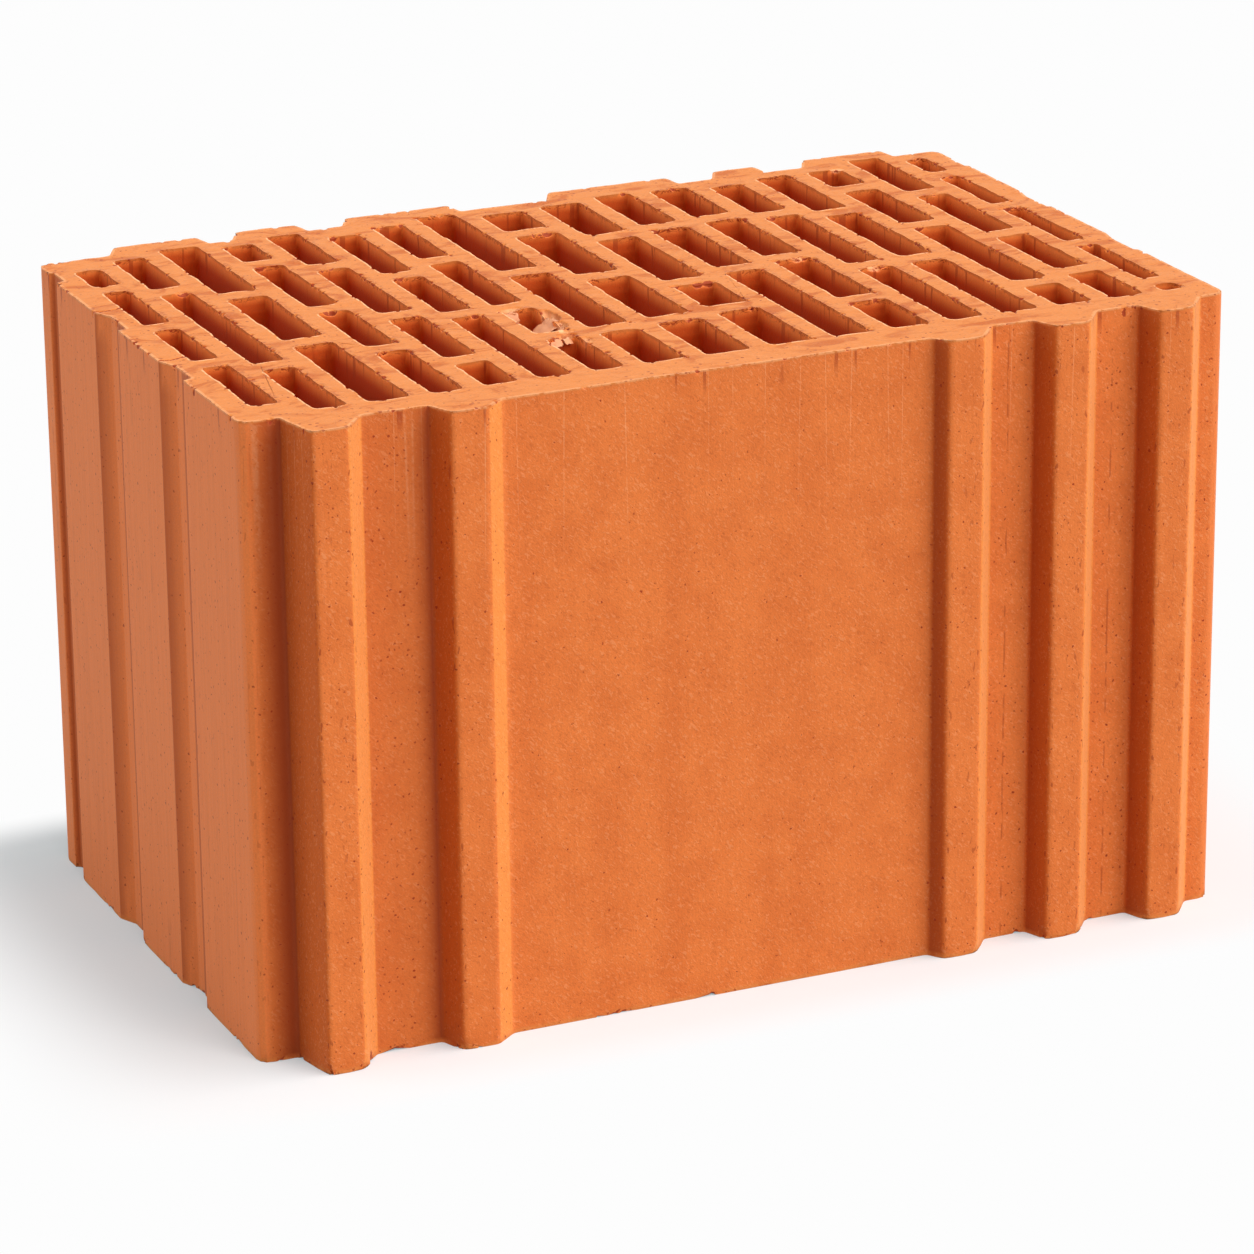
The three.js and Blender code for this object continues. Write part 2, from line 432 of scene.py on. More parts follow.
def cut_beside(bm, lines, distances):
    """Cuts upright lines into the outer walls at some distances, the longest first, from the
    given corners."""
    least_rest, corner_size = 0.6, 1.6
    for distance in distances:
        for face in [face for face in bm.faces if not is_flat(face)]:
            foot = face.calc_center_median().xy
            along = Vector((-face.normal.y, face.normal.x))
            reach = max((vert.co.xy - foot).dot(along) for vert in face.verts)
            if 2 * reach < distance + least_rest:
                continue
            for sign in (-1, 1):
                corner = foot + sign * reach * along
                if np.hypot(*(lines - corner).T).min() > corner_size:
                    continue
                spot = corner - sign * distance * along
                bmesh.ops.bisect_plane(bm, geom=[face, *face.edges], dist=0.001,
                                       plane_co=(*spot, 0), plane_no=(*along, 0))
                break


def cut_levels(bm, levels):
    """Cuts level lines into the walls."""
    for level in levels:
        bmesh.ops.bisect_plane(bm, geom=bm.faces[:] + bm.edges[:], dist=0.001,
                               plane_co=(0, 0, level), plane_no=(0, 0, 1))


def split_along_rims(bm, low, high, size):
    """Splits the level edges of the walls between two heights into short pieces of one length."""
    groups = {}
    for edge in bm.edges:
        first, second = (vert.co for vert in edge.verts)
        if abs(first.z - second.z) > 0.01 or not low <= first.z <= high:
            continue
        if all(is_flat(face) for face in edge.link_faces):
            continue
        count = math.ceil(edge.calc_length() / size - 0.2) - 1
        if count > 0:
            groups.setdefault(count, []).append(edge)
    for count, edges in groups.items():
        bmesh.ops.subdivide_edges(bm, edges=edges, cuts=count, use_grid_fill=True)


def even_bed(bm, sign, size, rounds):
    """Fills a bed face with triangles of one size."""
    def inner_edges():
        faces = [face for face in bm.faces if face.normal.z * sign > 0.99]
        edges = {edge for face in faces for edge in face.edges
                 if all(other.normal.z * sign > 0.99 for other in edge.link_faces)}
        return faces, sorted(edges, key=lambda edge: edge.index)

    for _ in range(rounds):
        bm.edges.index_update()
        faces, edges = inner_edges()
        bmesh.ops.beautify_fill(bm, faces=faces, edges=edges, method="AREA")
        bm.edges.index_update()
        faces, edges = inner_edges()
        chosen = [edge for edge in edges if edge.calc_length() > size]
        if not chosen:
            break
        bmesh.ops.subdivide_edges(bm, edges=chosen, cuts=1, use_single_edge=True)
        split_long_faces(bm)


def edge_middles(bm):
    mesh = bpy.data.meshes.new("measure")
    bm.to_mesh(mesh)
    points = mesh_points(mesh, 1.0)
    ends = np.zeros(len(mesh.edges) * 2, np.int32)
    mesh.edges.foreach_get("vertices", ends)
    first, second = points[ends[::2]], points[ends[1::2]]
    bpy.data.meshes.remove(mesh)
    return (first + second) / 2, np.linalg.norm(second - first, axis=1)


def refine_near(bm, spots, size, rounds):
    """Splits the edges longer than size round the given spots, out to a little past their radii."""
    past, margin = 1.4, 0.4
    for _ in range(rounds):
        middles, lengths = edge_middles(bm)
        long = np.nonzero(lengths > size)[0]
        order = long[np.argsort(middles[long, 0], kind="stable")]
        sorted_x = middles[order, 0]
        chosen = set()
        for x, y, z, rx, ry, rz, *_ in spots:
            wide, deep, tall = (past * radius + margin for radius in (rx, ry, rz))
            first, last = np.searchsorted(sorted_x, (x - wide, x + wide))
            some = order[first:last]
            offset = (middles[some] - (x, y, z)) / (wide, deep, tall)
            chosen.update(some[(offset ** 2).sum(1) < 1].tolist())
        if not chosen:
            break
        bm.edges.ensure_lookup_table()
        edges = [bm.edges[index] for index in sorted(chosen)]
        bmesh.ops.subdivide_edges(bm, edges=edges, cuts=1, use_single_edge=True)
        split_long_faces(bm)


def settle(bm):
    """Closes the gaps that an operator leaves in the lists of the bmesh. Later ones would fill
    them in an order that changes from run to run."""
    mesh = bpy.data.meshes.new("settled")
    bm.to_mesh(mesh)
    bm.clear()
    bm.from_mesh(mesh)
    bpy.data.meshes.remove(mesh)


def round_edges(bm, edges, width, segments):
    bmesh.ops.bevel(bm, geom=edges, offset=width / MM, offset_type="OFFSET", segments=segments,
                    profile=0.5, affect="EDGES", material=-1, clamp_overlap=True)
    settle(bm)


def block_mesh(sizes):
    """The block's mesh, with rounded rims and fine enough for the tears, and its plan."""
    bm = plain_solid()
    plan = Plan(bm)
    rng = random.Random(sizes.seed)
    tears = rim_tears(plan, rng, sizes.tear_depth / MM)
    tears += key_folds(plan) + caved_rims(plan)
    nicks = outline_nicks(plan, rng)

    # Each wall becomes one face, and the outside's sharp upright edges are rounded.
    slanted = [e for e in bm.edges if abs(e.verts[0].co.z - e.verts[1].co.z) > 0.01
               and (e.verts[0].co.xy - e.verts[1].co.xy).length > 0.01]
    bmesh.ops.dissolve_edges(bm, edges=slanted, use_verts=False)
    bm.normal_update()
    narrow = 1.2
    sharp = [e for e in bm.edges if is_upright(e) and e.calc_face_angle() > math.radians(12)
             and min(face.calc_area() for face in e.link_faces) > narrow * TALL
             and plan.is_outside(e.verts[0].co)]
    round_edges(bm, sharp, sizes.key_edge, 2)
    bm.normal_update()

    # Lines beside the corners carry the shades there.
    keys = plan.creases[np.abs(plan.creases[:, 0]) > RIGHT - KEY_ZONE]
    cut_beside(bm, keys, (10.3, 9.3))
    cut_beside(bm, plan.creases, (11.0, 6.0, 3.0, 1.2))
    cut_beside(bm, plan.ridges, (0.9,))

    # The rims are rounded, and the mesh gets finer towards them.
    for is_outer, width in ((False, sizes.slot_rim), (True, sizes.outer_rim)):
        rims = [e for e in bm.edges if is_flat(e.link_faces[0]) != is_flat(e.link_faces[1])
                and plan.is_outside((e.verts[0].co + e.verts[1].co) / 2) == is_outer]
        round_edges(bm, rims, width, 1)
    cut_levels(bm, (2.3, RIM_ZONE, 30, 80, 150, 200,
                    TALL - 12, TALL - RIM_ZONE, TALL - 2.8, TALL - 1.4))
    split_along_rims(bm, TALL - RIM_ZONE - 0.1, TALL, 2.1)
    split_along_rims(bm, 0, RIM_ZONE + 0.1, 6.0)
    split_long_faces(bm)
    even_bed(bm, 1, 3.4, 5)
    even_bed(bm, -1, 11.0, 3)
    refine_near(bm, tears, 1.0, 3)
    refine_near(bm, nicks, 0.9, 4)
    bmesh.ops.recalc_face_normals(bm, faces=bm.faces[:])
    return finished_mesh(bm, "fired_block"), plan, tears, nicks


def finished_mesh(bm, name):
    """Turns a bmesh in millimetres into a mesh in metres."""
    bmesh.ops.scale(bm, vec=(MM,) * 3, verts=bm.verts[:])
    mesh = bpy.data.meshes.new(name)
    bm.to_mesh(mesh)
    bm.free()
    return mesh


def mesh_points(mesh, scale):
    points = np.zeros(len(mesh.vertices) * 3, np.float32)
    mesh.vertices.foreach_get("co", points)
    return points.reshape(-1, 3).astype(float) * scale


def add_mask(mesh, name, values):
    attribute = mesh.attributes.new(name, "FLOAT", "POINT")
    attribute.data.foreach_set("value", values.astype(np.float32))


def to_lines(points, lines):
    """Distance to the nearest of some upright lines."""
    return np.min([np.hypot(*(points[:, :2] - line).T) for line in lines], axis=0)


def within(points, some, spot, radii):
    """Which of some points are inside an ellipsoid, and how far, up to 1 in its middle."""
    reach = (((points[some] - spot) / radii) ** 2).sum(1)
    inside = reach < 1.0
    return some[inside], 1 - reach[inside]


def crease_shade(start, normals, crease, outline, at_slot, at_end):
    """Painted shade in the hollow corners of the outside, where less light reaches. In front it grows
    darker to the left, and the steep flanks are painted dark from edge to edge. On the left end the key
    floors and the edges of the key bevels get painted shade."""
    inset = start[:, 0] - LEFT
    in_front = start[:, 1] < 0
    leftward = smooth(start[:, 0], 60, -150) * in_front
    shade = np.clip(1.05 * np.exp(-crease / 3.3) - 0.05, 0, 1)
    shade = shade * np.where(in_front, 0.42 + 0.88 * leftward, 0.8)
    # The steep flanks in front, which face away from the lamp, are painted dark all over.
    steep = smooth(np.abs(normals[:, 0]), 0.7, 0.84) * in_front * (1 - at_end) * (1 - at_slot)
    shade = shade * (1 - steep) + steep * (1.2 - 0.6 * leftward) * np.clip(1 - crease / 12, 0, 1)
    # A painted shade line along the recess floors in front, stronger to the left.
    recess = (start[:, 1] < FRONT + 11.5) * (start[:, 1] > FRONT + 10) * (outline < 0.1)
    shade += 0.3 * recess * leftward
    # A painted shadow strip on the floors of the left keys, and painted shade on their bevels.
    key_floor = 0.85 * smooth(crease, 10.6, 9.8) * (inset > 2.8)
    key_bevel = 0.86 * (inset > 0.03) * (inset < 0.3)
    shade = np.where(inset < KEY_ZONE, key_floor + key_bevel, shade)
    # Painted shade that deepens across the corner recess on the left towards its flank.
    left_corner = (start[:, 1] < FRONT + 25) * (inset < 14.6) * (outline < 0.1)
    shade = np.where(left_corner, 1.4 * smooth(inset, 0.5, 13.5), shade)
    return shade * (1 - at_slot)


def weather(mesh, plan, tears, nicks, sizes):
    """Moves the vertices for ragged rims, tears and uneven faces, and stores the masks."""
    start = mesh_points(mesh, 1 / MM)
    moved = start.copy()
    from_top = TALL - start[:, 2]
    from_bed = start[:, 2]
    slot, away = plan.to_slot(start)
    outline, inward = plan.to_outline(start)
    at_slot = slot < outline
    from_end = np.minimum(start[:, 0] - LEFT, RIGHT - start[:, 0])
    at_end = (from_end < 4.6) * (1 - at_slot)
    cut = smooth(np.minimum(from_top, from_bed), 0.6, 0.1)

    # The slot rims wander sideways.
    near_rim = smooth(np.abs(slot), 2.8, 0.2)
    upper = smooth(from_top, RIM_ZONE, 0.5)
    lower = smooth(from_bed, RIM_ZONE, 0.5)
    wander = 0.7 * cloud(start, 6, 1) + 0.5 * cloud(start, 2.4, 2)
    push = sizes.ragged / MM * wander * near_rim * (upper + 0.7 * lower)
    moved[:, :2] += away * push[:, None]

    # The cut faces dip between the slots and rise to their lips.
    uneven = sizes.web_dip / MM
    dip = uneven * (0.6 * cloud(start, 16, 3) + 0.4 * cloud(start, 5, 4) - 0.6)
    lip = uneven * 0.8 * near_rim * smooth(cloud(start, 9, 5), -0.2, 0.5)
    moved[:, 2] += (dip + lip) * cut * (from_top < 0.1)
    moved[:, 2] -= 0.4 * dip * cut * (from_bed < 0.1)

    # The proud corners of the outside are worn at the beds.
    ridge = to_lines(start, plan.ridges)
    normals = np.zeros(len(start) * 3, np.float32)
    mesh.vertex_normals.foreach_get("vector", normals)
    normals = normals.reshape(-1, 3)[:, :2]
    worn = smooth(ridge, 4, 0) * (outline < 0.05) * (1 - at_slot)
    worn = worn * (1.3 * smooth(from_bed, 4.5, 0) + 0.5 * smooth(from_top, 3, 0))
    worn = worn * (1 + 0.6 * cloud(start, 7, 8)) * np.where(at_end, 0.45, 1.0)
    moved[:, :2] -= normals * worn[:, None]

    # Tears open the slot rims, and the wide ones are lumpy and pale inside: pale clay, made paler still
    # as painted light against their shade.
    wide = 5
    lumps = cloud(start, 3.6, 9)
    torn = np.zeros(len(start))
    slumped = np.zeros(len(start))
    top = np.nonzero(from_top < 6)[0]
    for x, y, z, rx, ry, rz, push in tears:
        inside, weight = within(start, top, (x, y, z), (rx, ry, rz))
        weight = weight ** 0.8
        if rx * ry > wide:
            weight = weight * np.clip(0.8 + 0.7 * lumps[inside], 0, 1.2)
            slumped[inside] = np.maximum(slumped[inside], weight)
        moved[inside, :2] += away[inside] * (0.5 * push * weight)[:, None]
        moved[inside, 2] -= push * weight
        torn[inside] = np.maximum(torn[inside], weight)

    # Chips break the outer rims, inward and away from the bed.
    for x, y, z, rx, ry, rz, push in nicks:
        close = np.nonzero(np.abs(start[:, 0] - x) < rx)[0]
        inside, weight = within(start, close, (x, y, z), (rx, ry, rz))
        if len(inside) == 0:
            continue
        way = inward[inside[np.argmax(outline[inside])]]
        moved[inside, :2] += way * (0.7 * push * weight)[:, None]
        moved[inside, 2] += (0.7 if z < 1 else -0.7) * push * weight
        torn[inside] = np.maximum(torn[inside], 0.7 * weight)

    moved[:, 2] = np.clip(moved[:, 2], 0.0, TALL)
    mesh.vertices.foreach_set("co", (moved * MM).astype(np.float32).ravel())
    mesh.update()

    # Bevels look right in front and left behind, and flanks the other way: the bevels get a painted
    # highlight and the flanks painted shade.
    across = normals[:, 0] * np.where(start[:, 1] < 0, 1, -1)
    side_wall = (1 - at_slot) * (1 - at_end) * (1 - cut)
    shaded_flank = np.maximum(smooth(across, 0.8, 0.84), smooth(across, -0.3, -0.8))
    bevel = smooth(across, 0.4, 0.56) * smooth(across, 0.84, 0.8)
    crease = to_lines(start, plan.creases)
    # The crease and flank masks carry painted shade, the bevel mask a painted highlight, and the mask
    # of pale broken clay partly painted light.
    masks = {
        "cut": cut,
        "torn": torn * (1 - 0.7 * smooth(slumped, 0.1, 0.4)),
        "broken_clay_and_light": 0.6 * smooth(slumped, 0.1, 0.5),
        "slot": (1 - cut) * (np.abs(slot) < 1.5) * at_slot,
        "end": at_end,
        "reach": np.clip(slot, -1, 12),
        "shore": np.clip(outline, 0, 12),
        "crease": crease_shade(start, normals, crease, outline, at_slot, at_end),
        "ridge": smooth(ridge, 2.4, 1.0) * (1 - at_slot),
        "shaded_flank": shaded_flank * side_wall,
        "bevel": bevel * side_wall,
    }
    for name, values in masks.items():
        add_mask(mesh, name, values)
    way = mesh.attributes.new("away", "FLOAT_VECTOR", "POINT")
    way.data.foreach_set("vector", np.column_stack([away, 0 * slot]).astype(np.float32).ravel())


# Each flake: which of the two caved-in slots, the place in it, how far below the top, its width
# and height, and its lean and turn in degrees.
FLAKES = (
    (1, (0.84, 0.50), 3.3, 11.0, 8.5, 57, 0),
    (1, (0.90, 0.13), 2.4, 5.0, 5.0, 50, 8),
    (1, (0.30, 0.96), 2.6, 5.5, 4.0, 20, 96),
    (0, (0.32, 0.99), 1.6, 4.4, 3.4, 56, 84),
    (0, (0.70, 1.00), 1.5, 3.2, 3.0, 60, 104))
FLAKE_THICKNESS = 0.5


def flake_mesh(plan):
    """Thin flakes of clay that hang in the caved-in slots."""
    whole = bmesh.new()
    for slot, shares, drop, width, tall, lean, turn in FLAKES:
        bm = bmesh.new()
        bmesh.ops.create_grid(bm, x_segments=12, y_segments=9, size=0.5)
        for vert in bm.verts:
            across, up, _ = vert.co
            ragged = 1 - 2.2 * (across * up) ** 2
            ragged += 0.3 * noise.noise(Vector((2.6 * across, 2.6 * up, turn + tall)))
            ragged += 0.15 * noise.noise(Vector((9 * across, 9 * up, turn)))
            bulge = 1.6 * across * across + 0.5 * noise.noise(Vector((4 * across, 4 * up, width)))
            vert.co = (0.12 * width * bulge, across * width * ragged, up * tall * ragged)
        bmesh.ops.solidify(bm, geom=bm.faces[:], thickness=FLAKE_THICKNESS)
        bmesh.ops.recalc_face_normals(bm, faces=bm.faces[:])
        tilt = Matrix.Rotation(math.radians(turn), 3, "Z") @ Matrix.Rotation(math.radians(lean), 3, "Y")
        bmesh.ops.rotate(bm, verts=bm.verts[:], cent=(0, 0, 0), matrix=tilt)
        spot = (*plan.in_slot(CAVED_SLOTS[slot], *shares), TALL - drop)
        bmesh.ops.translate(bm, verts=bm.verts[:], vec=spot)
        part = bpy.data.meshes.new("part")
        bm.to_mesh(part)
        bm.free()
        whole.from_mesh(part)
        bpy.data.meshes.remove(part)
    for vert in whole.verts:
        vert.co.z = min(vert.co.z, TALL - 0.3)
    mesh = finished_mesh(whole, "rim_flakes")
    # The flakes are pale broken clay, lightened further as painted light in the shaded slots.
    add_mask(mesh, "broken_clay_and_light", np.full(len(mesh.vertices), 0.6))
    return mesh


# ---------------------------------------------------------------- material nodes

class Tree:
    """A node tree, with short ways to add the nodes that the clay needs."""

    def __init__(self, tree):
        self.tree = tree

    def node(self, kind, **settings):
        made = self.tree.nodes.new(kind)
        for name, value in settings.items():
            setattr(made, name, value)
        return made

    def feed(self, socket, value):
        if isinstance(value, bpy.types.NodeSocket):
            self.tree.links.new(value, socket)
        else:
            socket.default_value = value

    def math(self, operation, *values, kind="ShaderNodeMath"):
        made = self.node(kind, operation=operation)
        for socket, value in zip(made.inputs, values):
            self.feed(socket, value)
        return made.outputs[0]

    def chain(self, operation, first, *others):
        for other in others:
            first = self.math(operation, first, other)
        return first

    times = partialmethod(chain, "MULTIPLY")
    plus = partialmethod(chain, "ADD")
    most = partialmethod(chain, "MAXIMUM")

    def less(self, value):
        """What the value leaves of 1."""
        return self.math("SUBTRACT", 1.0, value)

    def split(self, vector):
        made = self.node("ShaderNodeSeparateXYZ")
        self.feed(made.inputs[0], vector)
        return made.outputs

    def stretch(self, vector, factors, shift=(0, 0, 0)):
        return self.math("MULTIPLY_ADD", vector, factors, shift, kind="ShaderNodeVectorMath")

    def noise(self, vector, scale, detail=2.0, roughness=0.5, distortion=0.0, output="Fac"):
        made = self.node("ShaderNodeTexNoise")
        for name, value in (("Vector", vector), ("Scale", scale), ("Detail", detail),
                            ("Roughness", roughness), ("Distortion", distortion)):
            self.feed(made.inputs[name], value)
        return made.outputs[output]

    def step(self, value, low, high, start=0.0, end=1.0):
        """A soft step of the value from start at low to end at high."""
        made = self.node("ShaderNodeMapRange", interpolation_type="SMOOTHSTEP")
        for socket, number in zip(made.inputs, (value, low, high, start, end)):
            self.feed(socket, number)
        return made.outputs["Result"]

    def near_half(self, value, width):
        """Thin lines where the value is one half."""
        return self.step(self.math("ABSOLUTE", self.math("SUBTRACT", value, 0.5)), width, 0.0)

    def mix(self, share, first, second, blend="MIX"):
        made = self.node("ShaderNodeMix", data_type="RGBA", blend_type=blend)
        self.feed(made.inputs["Factor"], share)
        for socket, colour in zip(made.inputs[6:8], (first, second)):
            is_plain = not isinstance(colour, bpy.types.NodeSocket)
            self.feed(socket, (*colour, 1.0) if is_plain else colour)
        return made.outputs[2]

    def place(self, made, **values):
        """Places a node group, with its own values."""
        node = self.node("ShaderNodeGroup", node_tree=made)
        for name, value in values.items():
            self.feed(node.inputs[name], value)
        return node.outputs

    def end(self, kind, shader):
        self.feed(self.node("ShaderNodeOutput" + kind).inputs["Surface"], shader)


def new_material(name, kind=Tree):
    material = bpy.data.materials.new(name)
    material.use_nodes = True
    material.node_tree.nodes.clear()
    return material, kind(material.node_tree)


def pore_group():
    """Round pores of many sizes. Depth is 1 in the middle of a pore, and Speck in that of a pale
    grain, which some of the other cells hold."""
    made = bpy.data.node_groups.new("clay_pores", "ShaderNodeTree")
    made.interface.new_socket("Place", in_out="INPUT", socket_type="NodeSocketVector")
    for name in ("Spacing", "Radius", "Share", "Spread"):
        made.interface.new_socket(name, in_out="INPUT", socket_type="NodeSocketFloat")
    for name in ("Depth", "Speck"):
        made.interface.new_socket(name, in_out="OUTPUT", socket_type="NodeSocketFloat")
    tree = Tree(made)
    given = tree.node("NodeGroupInput").outputs
    result = tree.node("NodeGroupOutput").inputs
    cells = tree.node("ShaderNodeTexVoronoi", feature="F1", voronoi_dimensions="3D")
    tree.feed(cells.inputs["Vector"], given["Place"])
    tree.feed(cells.inputs["Scale"], tree.math("DIVIDE", 1.0, given["Spacing"]))
    draw = tree.node("ShaderNodeSeparateColor")
    tree.feed(draw.inputs[0], cells.outputs["Color"])
    is_pore, size, strength = draw.outputs
    distance = tree.times(cells.outputs["Distance"], given["Spacing"])
    radius = tree.times(given["Radius"], tree.math("MULTIPLY_ADD", size, 0.75, 0.25))
    near = tree.math("DIVIDE", distance, radius)
    bowl = tree.step(near, 1.0, 0.6)
    chosen = tree.math("LESS_THAN", is_pore, given["Share"])
    shade = tree.math("MULTIPLY_ADD", strength, given["Spread"], tree.less(given["Spread"]))
    tree.feed(result["Depth"], tree.times(bowl, chosen, shade))
    other = tree.math("GREATER_THAN", is_pore, 0.55)
    tree.feed(result["Speck"], tree.times(tree.step(near, 0.5, 0.25), other))
    return made


class ClayTree(Tree):
    """The clay's nodes, with the places, masks and patterns that its parts share."""

    def __init__(self, tree):
        super().__init__(tree)
        self.known = {}
        self.spot = self.node("ShaderNodeTexCoord").outputs["Object"]
        self.across, self.back, up = self.split(self.spot)
        self.depth = self.math("SUBTRACT", TALL * MM, up)
        away = self.node("ShaderNodeAttribute", attribute_name="away").outputs["Vector"]
        self.away_x, self.away_y, _ = self.split(away)
        self.behind = self.step(self.away_y, 0.5, 0.8)
        cut, slot, end = self.masks("cut", "slot", "end")
        self.outer = self.times(self.less(slot), self.less(self.times(end, 0.75)),
                                self.less(self.times(cut, 0.5)))
        # Scrapes, grain and blotches on every face.
        turned = self.node("ShaderNodeMapping", vector_type="TEXTURE")
        self.feed(turned.inputs["Vector"], self.spot)
        turned.inputs["Rotation"].default_value = (0.3, -0.8, 0.0)
        turned.inputs["Scale"].default_value = (1.0, 1.0, 2.6)
        self.scrape = self.noise(turned.outputs[0], 1150.0, detail=0.0, distortion=1.1)
        self.grain = self.noise(self.spot, 1500.0, detail=1.0, roughness=0.65)
        self.mottle = self.noise(self.spot, 60.0, detail=3.0, roughness=0.6)
        self.bits = self.streaks(420.0, (1, 1, 1), (0.7, 0.2, 0), roughness=0.6)
        # Lines that the die draws down the walls, and smears that the wire draws over the beds.
        self.drawn = self.streaks(520.0, (1, 1, 0.03), roughness=0.6)
        self.smear = self.streaks(90.0, (0.5, 1, 1), detail=3.0, roughness=0.6, distortion=1.2)

    def masks(self, *names):
        """Masks that the mesh holds, with one node for each."""
        for name in names:
            if name not in self.known:
                made = self.node("ShaderNodeAttribute", attribute_name=name)
                self.known[name] = made.outputs["Fac"]
        return [self.known[name] for name in names]

    def streaks(self, scale, factors, shift=(0, 0, 0), **settings):
        """Noise that is drawn out along the axes with a small factor."""
        return self.noise(self.stretch(self.spot, factors, shift), scale, **settings)


def plain_colour(tree, colours):
    """The outer faces, with the ends, the slot walls and the cut faces over them."""
    cut, slot, end, shaded_flank, bevel = tree.masks("cut", "slot", "end", "shaded_flank", "bevel")
    bands = tree.streaks(70.0, (1, 1, 0.02), detail=1.0)
    patches = tree.plus(tree.times(bands, 0.4), tree.times(tree.mottle, 0.6))
    face = tree.mix(tree.step(patches, 0.38, 0.62), colours.face_dark, colours.face)
    # Painted highlight on the bevels and painted shade on the steep flanks.
    face = tree.mix(bevel, face, colours.bevel)
    face = tree.mix(shaded_flank, face, colours.shaded_flank)
    ends = tree.mix(tree.step(tree.drawn, 0.35, 0.7, 0.0, 0.4), colours.end, colours.end_dark)
    colour = tree.mix(end, face, ends)

    # Painted shade: the slot walls darken with depth, and the back walls from just below the rim.
    deep = tree.most(tree.step(tree.depth, 0.0, 0.0075),
                     tree.times(tree.behind, tree.step(tree.depth, -0.001, 0.004), 0.9))
    walls = tree.mix(deep, colours.slot, colours.slot_shade_and_streaks)
    walls = tree.mix(tree.step(tree.drawn, 0.4, 0.7, 0.0, 0.12), walls, colours.slot_shade_and_streaks)
    colour = tree.mix(slot, colour, walls)

    drag = tree.streaks(460.0, (0.3, 1, 1), roughness=0.6)
    strokes = tree.streaks(150.0, (0.5, 1, 1), (0.4, 0.9, 0), roughness=0.55, distortion=1.4)
    strokes = tree.times(tree.step(strokes, 0.57, 0.67), cut)
    bed = tree.mix(tree.step(tree.smear, 0.34, 0.5), colours.cut_dark, colours.cut)
    bed = tree.mix(tree.step(drag, 0.5, 0.75, 0.0, 0.16), bed, colours.cut_dark)
    bed = tree.mix(tree.times(strokes, 0.32), bed, colours.cut_dark)
    return tree.mix(cut, colour, bed)


def pore_marks(tree):
    """Open pores, painted dark as the shade inside them, most of them near the outline of the cut
    faces, and pale grains.
    """
    cut, slot, end, shore = tree.masks("cut", "slot", "end", "shore")
    pores = pore_group()
    wobble = tree.noise(tree.spot, 1300.0, detail=0.0, output="Color")
    rough_spot = tree.stretch(wobble, (0.0008, 0.0008, 0.0008), tree.spot)
    shell = tree.times(cut, tree.step(shore, 11.0, 5.0),
                       tree.step(tree.noise(tree.spot, 52.0, detail=0.0), 0.42, 0.55))
    small = tree.place(pores, Place=rough_spot, Spacing=0.0025,
                       Radius=tree.step(shell, 0.0, 1.0, 0.0006, 0.0010),
                       Share=tree.step(shell, 0.0, 1.0, 0.75, 0.95), Spread=0.5)["Depth"]
    large, grains = tree.place(pores, Place=rough_spot, Spacing=0.0052, Radius=0.0007, Share=0.5,
                               Spread=0.2)
    # The pores are painted shade, flat dark spots with no relief.
    pore_shade = tree.times(tree.most(small, large), tree.less(tree.times(slot, 0.7)),
                       tree.less(tree.times(end, 0.15)))
    return pore_shade, tree.times(grains, tree.outer, 0.5)


def rim_marks(tree):
    """A painted highlight on the lip in front of each slot and on its left, where they face the light,
    painted shade in torn clay behind it and on its right, a paler outer rim, and the chips of the torn
    rims."""
    cut, slot, reach, shore, torn = tree.masks("cut", "slot", "reach", "shore", "torn")
    thin = tree.step(tree.depth, 0.0010, 0.0005)
    at_rim = tree.times(tree.step(reach, 0.8, 0.45), thin, tree.most(cut, slot))
    # The lips on the left and front of each slot face the light and get a painted highlight.
    lit = tree.plus(tree.times(tree.away_x, -0.8), tree.times(tree.away_y, -0.6))
    lip = tree.times(at_rim, tree.step(lit, 0.1, 0.5), tree.step(tree.bits, 0.36, 0.5))
    outer_lip = tree.times(tree.step(shore, 1.3, 0.8), thin, tree.step(tree.bits, 0.38, 0.5))

    # Dark gashes behind each slot and on its right, painted as the shade inside torn clay.
    right = tree.step(tree.away_x, 0.5, 0.8)
    band = tree.times(tree.step(reach, 3.2, 0.6), tree.step(tree.depth, 0.0025, 0.001))
    gash_shade = tree.streaks(240.0, (1, 2.4, 2), (0.2, 0.5, 0), roughness=0.6, distortion=0.8)
    some = tree.step(tree.noise(tree.spot, 28.0, detail=0.0), 0.38, 0.5)
    gash_shade = tree.times(tree.near_half(gash_shade, 0.07), tree.step(tree.bits, 0.42, 0.5), band,
                        tree.plus(tree.behind, tree.times(right, 0.8)), some)
    chips = tree.times(tree.step(tree.plus(tree.times(torn, 0.5), tree.bits), 0.66, 0.74),
                       tree.step(torn, 0.04, 0.2))
    return tree.most(lip, tree.times(outer_lip, 0.42)), gash_shade, chips


